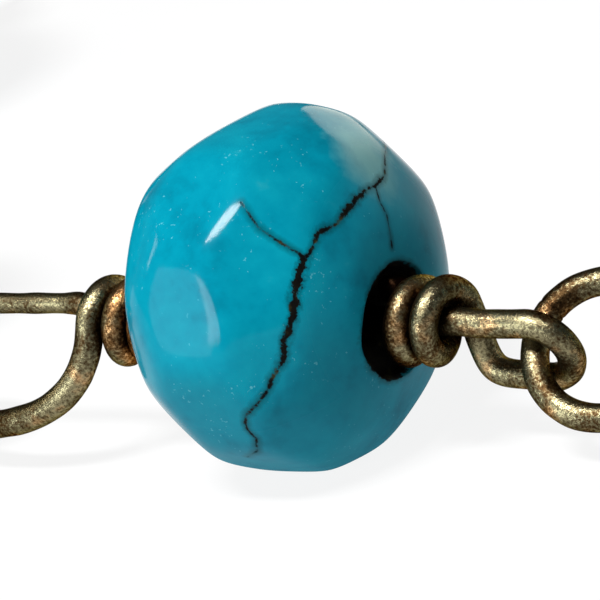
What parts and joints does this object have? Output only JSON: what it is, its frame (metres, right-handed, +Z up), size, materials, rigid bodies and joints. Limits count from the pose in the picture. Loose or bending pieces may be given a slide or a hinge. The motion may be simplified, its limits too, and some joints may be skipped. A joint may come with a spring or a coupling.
{
  "type": "gemstone chain bracelet",
  "caption": "Closed chain bracelet of faceted turquoise beads on wire links with wrapped loops, joined by round rings and a hook clasp.",
  "frame": {"origin": "middle of the bracelet's underside, on the surface that it lies on", "axes": "+X along the oval's longer side, +Y towards the clasp, +Z up from the surface"},
  "size_m": [0.0668, 0.0588, 0.01],
  "materials": {
    "turquoise": "polished facets, dark brown veins",
    "antique_brass": "antiqued wire with dark patina and bare high spots"
  },
  "bodies": {
    "root": {"bead_1": "turquoise", "bead_2": "turquoise", "bead_3": "turquoise", "bead_4": "turquoise", "bead_5": "turquoise", "bead_6": "turquoise", "bead_7": "turquoise", "wire_link_1": "antique_brass", "wire_link_2": "antique_brass", "wire_link_3": "antique_brass", "wire_link_4": "antique_brass", "wire_link_5": "antique_brass", "wire_link_6": "antique_brass", "wire_link_7": "antique_brass", "jump_ring_1": "antique_brass", "jump_ring_2": "antique_brass", "jump_ring_3": "antique_brass", "jump_ring_4": "antique_brass", "jump_ring_5": "antique_brass", "jump_ring_6": "antique_brass", "jump_ring_7": "antique_brass", "end_ring": "antique_brass", "hook_clasp": "antique_brass"}
  },
  "joints": []
}
